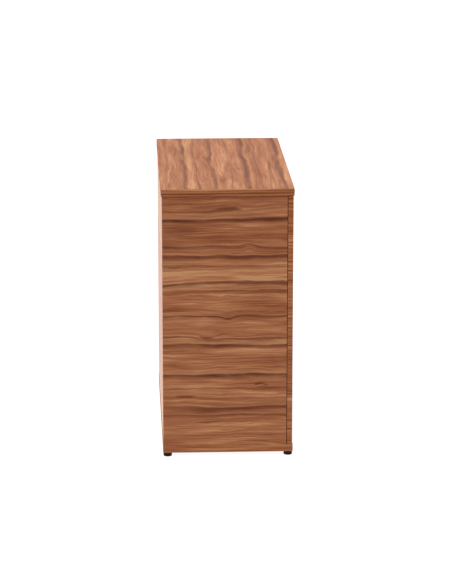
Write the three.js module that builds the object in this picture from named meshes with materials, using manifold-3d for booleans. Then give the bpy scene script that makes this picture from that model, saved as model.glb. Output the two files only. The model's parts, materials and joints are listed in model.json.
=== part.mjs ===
// A library book drop box: a cabinet of laminated boards with a pull-out front.
// The front carries the book slot with its flap, the chute, and a bin with a sprung platform.
// Millimetres, +Z up. The front faces -Y and the width runs along X.
// The origin is on the floor, under the middle of the whole object's box.
import * as THREE from "three";
import { mergeVertices } from "three/addons/utils/BufferGeometryUtils.js";
import Module from "manifold-3d";

const wasm = await Module();
wasm.setup();

// ---------------------------------------------------------------- driving dimensions
// Cabinet
const WIDTH = 900; // top board, end to end
const DEPTH = 450; // top board, front to back
const HEIGHT = 942; // floor to the top surface
const TOP_THICK = 25;
const BASE_THICK = 25;
const SIDE_THICK = 18;
const BACK_THICK = 18;
const FRONT_THICK = 18;
const TOP_OVERHANG = 3; // top past the sides, the back and the front panel
const BASE_OVERHANG = 1; // base past the sides and the back
const BASE_FRONT_OVERHANG = 2; // base past the front panel
const FRONT_GAP = 2; // round the front panel: behind it, above it and below it

// Glides under the base
const GLIDE_HEIGHT = 14;
const GLIDE_RADIUS = 14.8;
const GLIDE_INSET = 1; // rim of a glide in from the base's edges
const GLIDE_STEM_RADIUS = 2.4;
const GLIDE_STEM_LENGTH = 16;

// Cam fittings that hold the sides to the top and the base
const CAM_RADIUS = 7.5;
const CAM_DEPTH = 12.2;
const CAM_FROM_END = 34; // up from the side's lower end, down from its upper end
const CAM_FROM_EDGE = 60; // in from the side's front and back edges

// Book slot
const SLOT_WIDTH = 386; // clear opening
const SLOT_HEIGHT = 65;
const SLOT_BELOW_TOP = 204; // middle of the slot, down from the top surface
const SLOT_WALL = 3;
const SLOT_RIM = 7; // width of the rim seen from the front
const SLOT_PROJECTION = 17; // rim out of the front panel
const SLOT_TAIL = 8; // sleeve past the back of the front panel

// Flap in the slot
const FLAP_THICK = 3;
const FLAP_PIN_RADIUS = 2.5;
const FLAP_KNUCKLE_RADIUS = 4;
const FLAP_WASHER_THICK = 2;
const FLAP_FROM_FRONT = 10; // pin behind the front panel's face

// Chute
const CHUTE_SHEET = 2;
const CHUTE_REACH = 142; // front panel to the chute's lower edge
const CHUTE_DROP = 82;
const CHUTE_FLANGE = 44; // flange that lies on the front panel's back
const CHUTE_CHEEK_TOP = 54; // level top of a cheek, front to back
const CHUTE_CHEEK_END = 28; // height of a cheek at the lower edge

// Bin
const BIN_BOARD = 12;
const BIN_BELOW_HANDLE = 12; // rim below the handle's screws
const BIN_BOTTOM_HEIGHT = 76;
const BIN_BEHIND = 14; // bin to the cabinet's back board
const BIN_SCREW_RADIUS = 2;
const BIN_SCREW_INSET = 115; // in from the bin's ends
const BIN_SCREW_ABOVE_BOTTOM = 80;
const BIN_SCREW_BELOW_RIM = 100;

// Runners: each one is three channels, one in the other
const RUNNER_SPACE = 14; // cabinet side to bin side
const RUNNER_HEIGHT = 136; // middle line above the floor
const RUNNER_HALF = 22.5;
const RUNNER_SHEET = 1.5;
const RUNNER_LENGTH = 400;
const RUNNER_PLAY = 0.8; // between two channels, above and below
const RUNNER_STEP = 2.5; // one channel's start behind the next, across the runner
const RUNNER_CHANNEL = 8; // depth of a channel

// Sprung platform in the bin
const PLATFORM_THICK = 12;
const PLATFORM_BELOW_RIM = 148; // top of the empty platform
const PLATFORM_PLAY = 8; // platform to the bin's front and back
const FELT_THICK = 3;
const FELT_INSET = 3;
const SPRING_RADIUS = 35; // to the middle of the wire
const SPRING_WIRE_RADIUS = 2.5;
const SPRING_TURNS = 8;
const SPRING_OFFSET = 200; // spring's middle from the bin's middle
const GUIDE_DEPTH = 10;
const GUIDE_HALF = 10.5;
const GUIDE_SHEET = 1.5;
const GUIDE_PLAY = 1;
const GUIDE_END_GAP = 8; // below the bin's rim and above its floor
const SHOE_HEIGHT = 32;

// Bow handle
const HANDLE_REACH = 27; // out of the front panel
const HANDLE_BAR = 6.5; // thickness at the middle of the bow
const HANDLE_CENTRES = 128; // between the two screws
const HANDLE_FOOT = 14;
const HANDLE_TALL = 12;
const HANDLE_BELOW_SLOT = 120;
const HANDLE_SCREW_RADIUS = 2;
const HANDLE_SCREW_BITE = 7; // screw into the handle's foot

// Cam lock
const LOCK_BELOW_TOP = 66; // middle of the lock, down from the top surface
const LOCK_RADIUS = 9;
const LOCK_FLANGE_RADIUS = 11;
const LOCK_FLANGE_THICK = 2;
const LOCK_TAIL = 4; // barrel past the back of the front panel
const LOCK_PLUG_RADIUS = 6;
const LOCK_NUT_RADIUS = 13;
const LOCK_NUT_THICK = 3;
const LOCK_CAM_REACH = 32;
const LOCK_CAM_HALF = 7;
const LOCK_CAM_THICK = 2.5;
const STRIKE_SHEET = 2;
const STRIKE_HALF = 20;
const STRIKE_DEPTH = 33;
const STRIKE_OVERLAP = 16; // how far the locked cam stands up behind the strike

// Buffers between the sides' front edges and the front panel
const BUFFER_RADIUS = 4;
const BUFFER_FROM_END = 40;

// Clearances
const TOUCH = 0.3; // between two pieces that touch
const SWING = 1; // flap to the slot's lower wall
const SEGMENTS = 32;
const FINE_SEGMENTS = 20;

// ---------------------------------------------------------------- planes that pieces share
const sideX = WIDTH / 2 - TOP_OVERHANG; // sides' outer faces
const innerX = sideX - SIDE_THICK; // sides' inner faces
const binX = innerX - RUNNER_SPACE; // bin's outer faces
const backY = DEPTH / 2 - TOP_OVERHANG; // back board's rear face
const faceY = -DEPTH / 2 + TOP_OVERHANG; // front panel's face
const panelBackY = faceY + FRONT_THICK;
const sideFrontY = panelBackY + FRONT_GAP;
const backInnerY = backY - BACK_THICK;
const baseTopZ = GLIDE_HEIGHT + BASE_THICK;
const topUnderZ = HEIGHT - TOP_THICK;
const slotZ = HEIGHT - SLOT_BELOW_TOP;
const slotX = SLOT_WIDTH / 2;
const flapY = faceY + FLAP_FROM_FRONT;
const flapZ = slotZ + SLOT_HEIGHT / 2 - FLAP_KNUCKLE_RADIUS - SWING / 2;
const binFrontY = panelBackY + TOUCH;
const binInnerFrontY = binFrontY + BIN_BOARD;
const binBackY = backInnerY - BIN_BEHIND;
const binInnerBackY = binBackY - BIN_BOARD;
const binInnerX = binX - BIN_BOARD;
const binFloorZ = BIN_BOTTOM_HEIGHT + BIN_BOARD;
const platformX = binInnerX - TOUCH - GUIDE_DEPTH - 4 * GUIDE_PLAY;
const binMiddleY = (binInnerFrontY + binInnerBackY) / 2;
const lockZ = HEIGHT - LOCK_BELOW_TOP;
const handleZ = slotZ - HANDLE_BELOW_SLOT;
const binRimZ = handleZ - BIN_BELOW_HANDLE;
const platformZ = binRimZ - PLATFORM_BELOW_RIM;
const platformUnderZ = platformZ - PLATFORM_THICK;
const shiftY = (HANDLE_REACH - TOP_OVERHANG) / 2; // brings the whole object's box to the origin

// ---------------------------------------------------------------- materials
function finish(color, roughness, metalness = 0) {
  return new THREE.MeshStandardMaterial({ color, roughness, metalness });
}
const walnut = finish(0xa56f4c, 0.45); // walnut-pattern melamine on particle board
const birch = finish(0xd9bd8d, 0.6); // lacquered plywood of the bin
const blackPlastic = finish(0x161616, 0.5);
const nylon = finish(0xe8e6dd, 0.5);
const rubber = finish(0x1c1c1c, 0.9);
const felt = finish(0x3d4a45, 1);
const brushed = finish(0xb9bcbe, 0.35, 1);
const zinc = finish(0xc4c8ca, 0.4, 1);
const springSteel = finish(0x8d9092, 0.35, 1);
const greyPaint = finish(0x5f6468, 0.5, 0.2);

// ---------------------------------------------------------------- geometry helpers
// A closed three.js geometry as a solid that can be joined and cut.
function solid(geometry) {
  const bare = geometry.index ? geometry.toNonIndexed() : geometry.clone();
  bare.deleteAttribute("normal");
  bare.deleteAttribute("uv");
  const merged = mergeVertices(bare, 1e-4);
  const mesh = new wasm.Mesh({
    numProp: 3,
    vertProperties: new Float32Array(merged.attributes.position.array),
    triVerts: new Uint32Array(merged.index.array),
  });
  return new wasm.Manifold(mesh);
}

// The solid's triangles as a geometry.
function surface(body) {
  const mesh = body.getMesh();
  const geometry = new THREE.BufferGeometry();
  geometry.setAttribute("position", new THREE.BufferAttribute(mesh.vertProperties, 3));
  geometry.setIndex(new THREE.BufferAttribute(mesh.triVerts, 1));
  return geometry;
}

function cut(body, ...tools) {
  const taken = tools.flat().reduce((rest, tool) => rest.subtract(solid(tool)), solid(body));
  return surface(taken);
}

function join(...pieces) {
  const whole = pieces.slice(1).reduce((rest, piece) => rest.add(solid(piece)), solid(pieces[0]));
  return surface(whole);
}

// A block between two values on each axis.
function block([x0, x1], [y0, y1], [z0, z1]) {
  const geometry = new THREE.BoxGeometry(x1 - x0, y1 - y0, z1 - z0);
  return geometry.translate((x0 + x1) / 2, (y0 + y1) / 2, (z0 + z1) / 2);
}

// Round bars along each axis, from one value to another, round the given middle.
function barX(radius, [x0, x1], y, z, segments = FINE_SEGMENTS) {
  const geometry = new THREE.CylinderGeometry(radius, radius, x1 - x0, segments);
  return geometry.rotateZ(Math.PI / 2).translate((x0 + x1) / 2, y, z);
}
function barY(radius, [y0, y1], x, z, segments = FINE_SEGMENTS) {
  const geometry = new THREE.CylinderGeometry(radius, radius, y1 - y0, segments);
  return geometry.translate(x, (y0 + y1) / 2, z);
}
function barZ(radius, [z0, z1], x, y, segments = FINE_SEGMENTS) {
  const geometry = new THREE.CylinderGeometry(radius, radius, z1 - z0, segments);
  return geometry.rotateX(Math.PI / 2).translate(x, y, (z0 + z1) / 2);
}

// An outline of [y, z] points carried along X.
function alongX(points, [x0, x1]) {
  const shape = new THREE.Shape(points.map(([y, z]) => new THREE.Vector2(y, z)));
  const geometry = new THREE.ExtrudeGeometry(shape, { depth: x1 - x0, bevelEnabled: false });
  geometry.applyMatrix4(new THREE.Matrix4().set(0, 0, 1, x0, 1, 0, 0, 0, 0, 1, 0, 0, 0, 0, 0, 1));
  return geometry;
}

// An outline of [x, z] points carried along Y.
function alongY(points, [y0, y1]) {
  const shape = new THREE.Shape(points.map(([x, z]) => new THREE.Vector2(x, z)));
  const geometry = new THREE.ExtrudeGeometry(shape, { depth: y1 - y0, bevelEnabled: false });
  return geometry.rotateX(Math.PI / 2).translate(0, y1, 0);
}

// A rectangle's corners round a middle, for an outline.
function rectangle(halfA, halfB, b = 0) {
  return [
    [-halfA, b - halfB],
    [halfA, b - halfB],
    [halfA, b + halfB],
    [-halfA, b + halfB],
  ];
}

// The outline of a sheet of even thickness bent along a path, its corners mitred.
function bentSheet(path, thickness) {
  const points = path.map(([a, b]) => new THREE.Vector2(a, b));
  const normals = points.slice(1).map((p, i) => {
    const run = p.clone().sub(points[i]).normalize();
    return new THREE.Vector2(-run.y, run.x);
  });
  const offset = points.map((p, i) => {
    const before = normals[Math.max(i - 1, 0)];
    const after = normals[Math.min(i, normals.length - 1)];
    const mitre = before.clone().add(after).normalize();
    return p.clone().addScaledVector(mitre, thickness / mitre.dot(after));
  });
  return [...points, ...offset.reverse()].map((p) => [p.x, p.y]);
}

// A pan-head screw along Y: shank from tip to seat, head beyond the seat.
function panScrewY(radius, tipY, seatY, headThick, x, z) {
  const away = Math.sign(seatY - tipY);
  const head = [seatY + away * TOUCH, seatY + away * (TOUCH + headThick)].sort((a, b) => a - b);
  const shank = [tipY, seatY + away * 2 * TOUCH].sort((a, b) => a - b);
  return join(barY(radius, shank, x, z), barY(2.2 * radius, head, x, z));
}

const bookDropBox = new THREE.Group();
const assembly = new THREE.Group();
assembly.position.y = shiftY;
bookDropBox.add(assembly);

function place(name, geometry, material) {
  const mesh = new THREE.Mesh(geometry, material);
  mesh.name = name;
  assembly.add(mesh);
}

const sides = [
  ["left", -1],
  ["right", 1],
];

// Values either side of the middle plane, in rising order.
function mirrored(sign, near, far) {
  return sign < 0 ? [-far, -near] : [near, far];
}

// ---------------------------------------------------------------- cabinet
const baseX = sideX + BASE_OVERHANG;
const baseY = [faceY - BASE_FRONT_OVERHANG, backY + BASE_OVERHANG];

function glideSpots() {
  const inset = GLIDE_INSET + GLIDE_RADIUS;
  return sides.flatMap(([side, sign]) => [
    { name: `glide_front_${side}`, x: sign * (baseX - inset), y: baseY[0] + inset },
    { name: `glide_back_${side}`, x: sign * (baseX - inset), y: baseY[1] - inset },
  ]);
}

function makeTopAndBase() {
  const top = block([-WIDTH / 2, WIDTH / 2], [-DEPTH / 2, DEPTH / 2], [topUnderZ, HEIGHT]);
  place("top_board", top, walnut);
  const stemTop = GLIDE_HEIGHT + GLIDE_STEM_LENGTH + 2 * TOUCH;
  const holes = glideSpots().map(({ x, y }) => {
    return barZ(GLIDE_STEM_RADIUS + TOUCH, [GLIDE_HEIGHT - 1, stemTop], x, y);
  });
  const base = block([-baseX, baseX], baseY, [GLIDE_HEIGHT, baseTopZ]);
  place("base_board", cut(base, holes), walnut);
}

// A moulded foot with a stem that is pressed into the base.
function makeGlides() {
  const rim = GLIDE_RADIUS;
  const seat = GLIDE_HEIGHT - TOUCH;
  const profile = [
    [0, 0],
    [rim - 1, 0],
    [rim, 1],
    [rim, seat - 1.5],
    [rim - 1.5, seat],
    [GLIDE_STEM_RADIUS, seat],
    [GLIDE_STEM_RADIUS, seat + GLIDE_STEM_LENGTH],
    [0, seat + GLIDE_STEM_LENGTH],
  ].map(([r, z]) => new THREE.Vector2(r, z));
  for (const { name, x, y } of glideSpots()) {
    const turned = new THREE.LatheGeometry(profile, SEGMENTS).rotateX(Math.PI / 2);
    place(name, turned.translate(x, y, 0), blackPlastic);
  }
}

function camSpots() {
  const levels = [
    ["low", baseTopZ + TOUCH + CAM_FROM_END],
    ["high", topUnderZ - TOUCH - CAM_FROM_END],
  ];
  const rows = [
    ["front", sideFrontY + CAM_FROM_EDGE],
    ["back", backInnerY - CAM_FROM_EDGE],
  ];
  return levels.flatMap(([level, z]) => rows.map(([row, y]) => ({ name: `${row}_${level}`, y, z })));
}

function makeSides() {
  for (const [side, sign] of sides) {
    const panel = block(
      mirrored(sign, innerX, sideX),
      [sideFrontY, backY],
      [baseTopZ + TOUCH, topUnderZ - TOUCH],
    );
    const pocket = mirrored(sign, innerX - 1, innerX + CAM_DEPTH + TOUCH);
    const pockets = camSpots().map(({ y, z }) => barX(CAM_RADIUS + TOUCH, pocket, y, z, SEGMENTS));
    place(`side_${side}`, cut(panel, pockets), walnut);
    makeCams(side, sign);
  }
}

// A round cam housing with a cross for the screwdriver, flush with the side's inner face.
function makeCams(side, sign) {
  const crossHalf = [0.62 * CAM_RADIUS, 0.8];
  const crossDepth = 2;
  for (const { name, y, z } of camSpots()) {
    const housing = barX(CAM_RADIUS, mirrored(sign, innerX, innerX + CAM_DEPTH), y, z, SEGMENTS);
    const depth = mirrored(sign, innerX - 1, innerX + crossDepth);
    const [long, short] = crossHalf;
    const crossA = block(depth, [y - long, y + long], [z - short, z + short]);
    const crossB = block(depth, [y - short, y + short], [z - long, z + long]);
    place(`cam_fitting_${name}_${side}`, cut(housing, crossA, crossB), zinc);
  }
}

function makeBack() {
  const x = innerX - TOUCH;
  place("back_board", block([-x, x], [backInnerY, backY], [baseTopZ + TOUCH, topUnderZ - TOUCH]), walnut);
}

// Soft discs on the sides' front edges, which the closed front panel meets.
function makeBuffers() {
  const y = [panelBackY + TOUCH, sideFrontY - TOUCH];
  for (const [side, sign] of sides) {
    const x = sign * (sideX - SIDE_THICK / 2);
    place(`buffer_low_${side}`, barY(BUFFER_RADIUS, y, x, baseTopZ + BUFFER_FROM_END), rubber);
    place(`buffer_high_${side}`, barY(BUFFER_RADIUS, y, x, topUnderZ - BUFFER_FROM_END), rubber);
  }
}

// ---------------------------------------------------------------- front panel
const handleScrewX = HANDLE_CENTRES / 2;
const sleeveX = slotX + SLOT_WALL;
const sleeveHalfZ = SLOT_HEIGHT / 2 + SLOT_WALL;

function binScrewSpots() {
  const levels = [
    ["low", BIN_BOTTOM_HEIGHT + BIN_SCREW_ABOVE_BOTTOM],
    ["high", binRimZ - BIN_SCREW_BELOW_RIM],
  ];
  return sides.flatMap(([side, sign]) =>
    levels.map(([level, z]) => ({
      name: `bin_screw_${level}_${side}`,
      x: sign * (binX - BIN_SCREW_INSET),
      z,
    })),
  );
}

function makeFrontPanel() {
  const through = [faceY - 1, panelBackY + 1];
  const panel = block(
    [-sideX, sideX],
    [faceY, panelBackY],
    [baseTopZ + FRONT_GAP, topUnderZ - FRONT_GAP],
  );
  const slotHole = alongY(rectangle(sleeveX + TOUCH, sleeveHalfZ + TOUCH, slotZ), through);
  const lockHole = barY(LOCK_RADIUS + TOUCH, through, 0, lockZ, SEGMENTS);
  const handleHoles = [-1, 1].map((sign) => {
    return barY(HANDLE_SCREW_RADIUS + TOUCH, through, sign * handleScrewX, handleZ);
  });
  const screwHoles = binScrewSpots().map(({ x, z }) => {
    return barY(BIN_SCREW_RADIUS + TOUCH, [panelBackY - BIN_BOARD, panelBackY + 1], x, z);
  });
  place("front_panel", cut(panel, slotHole, lockHole, handleHoles, screwHoles), walnut);
}

// A sleeve through the front panel with a rim that stands out in front of it.
function makeSlotSurround() {
  const rimY = [faceY - SLOT_PROJECTION, faceY - TOUCH];
  const rimX = slotX + SLOT_RIM;
  const rim = alongY(rectangle(rimX, SLOT_HEIGHT / 2 + SLOT_RIM, slotZ), rimY);
  const sleeve = alongY(rectangle(sleeveX, sleeveHalfZ, slotZ), [rimY[0] + 1, panelBackY + SLOT_TAIL]);
  const opening = alongY(
    rectangle(slotX, SLOT_HEIGHT / 2, slotZ),
    [rimY[0] - 1, panelBackY + SLOT_TAIL + 1],
  );
  const pinHole = barX(FLAP_PIN_RADIUS + TOUCH, [-rimX, rimX], flapY, flapZ);
  place("slot_surround", cut(join(rim, sleeve), opening, pinHole), brushed);
}

// A plate that hangs from a rolled knuckle round the pin.
function makeFlap() {
  const halfWidth = slotX - FLAP_WASHER_THICK - 2 * TOUCH;
  const lower = slotZ - SLOT_HEIGHT / 2 + SWING;
  const plate = block(
    [-halfWidth, halfWidth],
    [flapY - FLAP_THICK / 2, flapY + FLAP_THICK / 2],
    [lower, flapZ],
  );
  const knuckle = barX(FLAP_KNUCKLE_RADIUS, [-halfWidth, halfWidth], flapY, flapZ, SEGMENTS);
  const bore = barX(FLAP_PIN_RADIUS + TOUCH, [-halfWidth - 1, halfWidth + 1], flapY, flapZ);
  place("book_flap", cut(join(plate, knuckle), bore), brushed);
  const pinX = sleeveX - TOUCH;
  place("flap_pin", barX(FLAP_PIN_RADIUS, [-pinX, pinX], flapY, flapZ), zinc);
  for (const [side, sign] of sides) {
    const x = mirrored(sign, halfWidth + TOUCH, slotX - TOUCH);
    const washer = barX(FLAP_KNUCKLE_RADIUS, x, flapY, flapZ);
    const hole = barX(FLAP_PIN_RADIUS + TOUCH, [x[0] - 1, x[1] + 1], flapY, flapZ);
    place(`flap_washer_${side}`, cut(washer, hole), nylon);
  }
}

// A folded tray: a flange on the panel, a slope that books slide down, and two cheeks.
function makeChute() {
  const y0 = panelBackY + TOUCH;
  const z0 = slotZ - sleeveHalfZ - 2 * TOUCH - CHUTE_SHEET;
  const end = [panelBackY + CHUTE_REACH, z0 - CHUTE_DROP];
  const x1 = sleeveX + TOUCH + CHUTE_SHEET;
  const path = [
    [y0, z0 - CHUTE_FLANGE],
    [y0, z0],
    end,
  ];
  const tray = alongX(bentSheet([...path].reverse(), CHUTE_SHEET), [-x1, x1]);
  const cheekTop = slotZ + sleeveHalfZ;
  const cheekEndY = end[0] - CHUTE_SHEET;
  const fall = CHUTE_DROP / (end[0] - y0);
  const outline = [
    [y0, z0 - CHUTE_SHEET / 2],
    [y0, cheekTop],
    [y0 + CHUTE_CHEEK_TOP, cheekTop],
    [cheekEndY, end[1] + CHUTE_CHEEK_END],
    [cheekEndY, z0 - CHUTE_SHEET / 2 - fall * (cheekEndY - y0)],
  ];
  const cheeks = sides.map(([, sign]) => alongX(outline, mirrored(sign, x1 - CHUTE_SHEET, x1)));
  place("chute", join(tray, ...cheeks), greyPaint);
}

// An arched bar between two feet, half an ellipse outside and half an ellipse inside.
function makeHandle() {
  const outerX = (HANDLE_CENTRES + HANDLE_FOOT) / 2;
  const innerHalf = (HANDLE_CENTRES - HANDLE_FOOT) / 2;
  const shape = new THREE.Shape();
  shape.absellipse(0, 0, outerX, HANDLE_REACH - TOUCH, 0, Math.PI, false, 0);
  shape.absellipse(0, 0, innerHalf, HANDLE_REACH - TOUCH - HANDLE_BAR, Math.PI, 0, true, 0);
  const arch = new THREE.ExtrudeGeometry(shape, {
    depth: HANDLE_TALL,
    bevelEnabled: false,
    curveSegments: SEGMENTS,
  });
  arch.rotateZ(Math.PI).translate(0, faceY - TOUCH, handleZ - HANDLE_TALL / 2);
  const seatY = faceY - TOUCH;
  const holeY = [seatY - HANDLE_SCREW_BITE - TOUCH, seatY + 1];
  const holes = [-1, 1].map((sign) => {
    return barY(HANDLE_SCREW_RADIUS + TOUCH, holeY, sign * handleScrewX, handleZ);
  });
  place("bow_handle", cut(arch, holes), brushed);
  for (const [side, sign] of sides) {
    const tip = seatY - HANDLE_SCREW_BITE;
    const screw = panScrewY(HANDLE_SCREW_RADIUS, tip, panelBackY, 2.5, sign * handleScrewX, handleZ);
    place(`handle_screw_${side}`, screw, zinc);
  }
}

// ---------------------------------------------------------------- cam lock
const nutY = [panelBackY + TOUCH, panelBackY + TOUCH + LOCK_NUT_THICK];
const camY = [panelBackY + LOCK_TAIL + 2 * TOUCH, panelBackY + LOCK_TAIL + 2 * TOUCH + LOCK_CAM_THICK];
const tailRadius = LOCK_PLUG_RADIUS / 2;

// A nut of six sides round a bar along Y.
function hexNut(radius, bore, y, x, z) {
  return cut(barY(radius, y, x, z, 6), barY(bore, [y[0] - 1, y[1] + 1], x, z));
}

function makeLockBody() {
  const flangeY = [faceY - TOUCH - LOCK_FLANGE_THICK, faceY - TOUCH];
  const barrelY = [flangeY[0], panelBackY + LOCK_TAIL];
  const body = join(
    barY(LOCK_FLANGE_RADIUS, flangeY, 0, lockZ, SEGMENTS),
    barY(LOCK_RADIUS, [flangeY[0] + 1, barrelY[1]], 0, lockZ, SEGMENTS),
  );
  const bore = barY(LOCK_PLUG_RADIUS + TOUCH, [barrelY[0] - 1, barrelY[1] + 1], 0, lockZ, SEGMENTS);
  place("lock_body", cut(body, bore), brushed);
  place("lock_body_nut", hexNut(LOCK_NUT_RADIUS, LOCK_RADIUS + TOUCH, nutY, 0, lockZ), zinc);
}

// The plug that the key turns, with the cam and its nut on the plug's tail.
function makeLockPlug() {
  const headY = [faceY - LOCK_FLANGE_THICK - 1, panelBackY + LOCK_TAIL];
  const tailY = [headY[1] - 1, camY[1] + 4];
  const plug = join(
    barY(LOCK_PLUG_RADIUS, headY, 0, lockZ, SEGMENTS),
    barY(tailRadius, tailY, 0, lockZ),
  );
  const keyway = block([-0.9, 0.9], [headY[0] - 1, headY[0] + 10], [lockZ - 3.6, lockZ + 3.6]);
  place("lock_plug", cut(plug, keyway), zinc);
  const arm = block([0, LOCK_CAM_REACH], camY, [lockZ - LOCK_CAM_HALF, lockZ + LOCK_CAM_HALF]);
  const hub = barY(LOCK_CAM_HALF + 2, camY, 0, lockZ, SEGMENTS);
  const hole = barY(tailRadius + TOUCH, [camY[0] - 1, camY[1] + 1], 0, lockZ);
  place("lock_cam", cut(join(arm, hub), hole), zinc);
  const camNutY = [camY[1] + TOUCH, camY[1] + TOUCH + 3];
  place("lock_cam_nut", hexNut(LOCK_PLUG_RADIUS, tailRadius + TOUCH, camNutY, 0, lockZ), zinc);
}

// An angle under the top board: the cam turns up behind its leg.
function makeStrike() {
  const x = [-STRIKE_HALF, STRIKE_HALF];
  const upper = topUnderZ - TOUCH;
  const legY = [panelBackY + 3 * TOUCH, panelBackY + 3 * TOUCH + STRIKE_SHEET];
  const flange = block(x, [legY[0], legY[0] + STRIKE_DEPTH], [upper - STRIKE_SHEET, upper]);
  const leg = block(x, legY, [lockZ + LOCK_CAM_REACH - STRIKE_OVERLAP, upper]);
  place("lock_strike", join(flange, leg), zinc);
}

// ---------------------------------------------------------------- bin
function makeBin() {
  const height = [BIN_BOTTOM_HEIGHT, binRimZ];
  const between = [binInnerFrontY + TOUCH, binInnerBackY - TOUCH];
  const holes = binScrewSpots().map(({ x, z }) => {
    return barY(BIN_SCREW_RADIUS + TOUCH, [binFrontY - 1, binInnerFrontY + 1], x, z);
  });
  place("bin_front", cut(block([-binX, binX], [binFrontY, binInnerFrontY], height), holes), birch);
  place("bin_back", block([-binX, binX], [binInnerBackY, binBackY], height), birch);
  for (const [side, sign] of sides) {
    place(`bin_side_${side}`, block(mirrored(sign, binInnerX, binX), between, height), birch);
  }
  const floorX = binInnerX - TOUCH;
  place("bin_floor", block([-floorX, floorX], between, [BIN_BOTTOM_HEIGHT, binFloorZ]), birch);
  for (const { name, x, z } of binScrewSpots()) {
    const tip = panelBackY - BIN_BOARD + TOUCH;
    place(name, panScrewY(BIN_SCREW_RADIUS, tip, binInnerFrontY, 2.5, x, z), zinc);
  }
}

// A channel's outline from one depth to another, its web at the first depth.
function channel(web, mouth, half, sheet) {
  const t = Math.sign(mouth - web) * sheet;
  return [
    [web, -half],
    [mouth, -half],
    [mouth, -half + sheet],
    [web + t, -half + sheet],
    [web + t, half - sheet],
    [mouth, half - sheet],
    [mouth, half],
    [web, half],
  ];
}

// An outline's points in anticlockwise order, so that its faces point out.
function anticlockwise(points) {
  return THREE.ShapeUtils.area(points.map(([x, y]) => new THREE.Vector2(x, y))) < 0
    ? [...points].reverse()
    : points;
}

// Three channels in each other: on the cabinet, between, and on the bin.
function makeRunners() {
  const middleHalf = RUNNER_HALF - RUNNER_SHEET - RUNNER_PLAY;
  const innerHalf = middleHalf - RUNNER_SHEET - 2 * RUNNER_PLAY;
  const startY = sideFrontY + 2;
  const binSideY = [binInnerFrontY + 2 * TOUCH, binInnerBackY - 2 * TOUCH];
  const members = [
    {
      name: "runner_outer",
      outline: channel(TOUCH, TOUCH + RUNNER_CHANNEL, RUNNER_HALF, RUNNER_SHEET),
      y: [startY, Math.min(startY + RUNNER_LENGTH, backInnerY - TOUCH)],
    },
    {
      name: "runner_middle",
      outline: channel(TOUCH + RUNNER_STEP, TOUCH + RUNNER_STEP + RUNNER_CHANNEL, middleHalf, RUNNER_SHEET),
      y: [startY + 4, binSideY[1]],
    },
    {
      name: "runner_inner",
      outline: channel(RUNNER_SPACE - TOUCH, RUNNER_SPACE - TOUCH - RUNNER_CHANNEL, innerHalf, RUNNER_SHEET),
      y: binSideY,
    },
  ];
  for (const [side, sign] of sides) {
    for (const { name, outline, y } of members) {
      const placed = outline.map(([u, v]) => [sign * (innerX - u), RUNNER_HEIGHT + v]);
      place(`${name}_${side}`, alongY(anticlockwise(placed), y), zinc);
    }
  }
}

// ---------------------------------------------------------------- sprung platform
class Helix extends THREE.Curve {
  constructor(radius, turns, [z0, z1]) {
    super();
    Object.assign(this, { radius, turns, z0, z1 });
  }
  getPoint(t, target = new THREE.Vector3()) {
    const angle = 2 * Math.PI * this.turns * t;
    const z = this.z0 + (this.z1 - this.z0) * t;
    return target.set(this.radius * Math.cos(angle), this.radius * Math.sin(angle), z);
  }
}

function makeSprings() {
  const z = [
    binFloorZ + TOUCH + SPRING_WIRE_RADIUS * 1.3,
    platformUnderZ - TOUCH - SPRING_WIRE_RADIUS * 1.3,
  ];
  const stepsPerTurn = 14;
  const wire = new THREE.Shape();
  wire.absarc(0, 0, SPRING_WIRE_RADIUS, 0, 2 * Math.PI, false);
  for (const [side, sign] of sides) {
    const coil = new THREE.ExtrudeGeometry(wire, {
      steps: stepsPerTurn * SPRING_TURNS,
      curveSegments: 3,
      bevelEnabled: false,
      extrudePath: new Helix(SPRING_RADIUS, SPRING_TURNS, z),
    });
    place(`platform_spring_${side}`, coil.translate(sign * SPRING_OFFSET, binMiddleY, 0), springSteel);
  }
}

function makePlatform() {
  const y = [binInnerFrontY + PLATFORM_PLAY, binInnerBackY - PLATFORM_PLAY];
  const board = block([-platformX, platformX], y, [platformUnderZ, platformZ]);
  place("platform", board, birch);
  const padX = platformX - FELT_INSET;
  const pad = block(
    [-padX, padX],
    [y[0] + FELT_INSET, y[1] - FELT_INSET],
    [platformZ + TOUCH, platformZ + TOUCH + FELT_THICK],
  );
  place("platform_felt", pad, felt);
}

// A channel on each end wall of the bin, and the shoe on the platform that runs in it.
function makeGuides() {
  const webX = binInnerX - TOUCH;
  const z = [binFloorZ + GUIDE_END_GAP, binRimZ - GUIDE_END_GAP];
  const middleZ = platformZ - PLATFORM_THICK / 2;
  const shoeY = GUIDE_HALF - GUIDE_SHEET - GUIDE_PLAY;
  for (const [side, sign] of sides) {
    const outline = channel(sign * webX, sign * (webX - GUIDE_DEPTH), GUIDE_HALF, GUIDE_SHEET);
    const shape = anticlockwise(outline).map(([x, v]) => new THREE.Vector2(x, v));
    const rail = new THREE.ExtrudeGeometry(new THREE.Shape(shape), {
      depth: z[1] - z[0],
      bevelEnabled: false,
    });
    place(`guide_rail_${side}`, rail.translate(0, binMiddleY, z[0]), zinc);
    const shoe = block(
      mirrored(sign, platformX + TOUCH, webX - GUIDE_SHEET - GUIDE_PLAY),
      [binMiddleY - shoeY, binMiddleY + shoeY],
      [middleZ - SHOE_HEIGHT / 2, middleZ + SHOE_HEIGHT / 2],
    );
    place(`guide_shoe_${side}`, shoe, nylon);
  }
}

makeTopAndBase();
makeGlides();
makeSides();
makeBack();
makeBuffers();
makeFrontPanel();
makeSlotSurround();
makeFlap();
makeChute();
makeHandle();
makeLockBody();
makeLockPlug();
makeStrike();
makeBin();
makeRunners();
makeSprings();
makePlatform();
makeGuides();

export default bookDropBox;
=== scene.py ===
import json
import math

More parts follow.
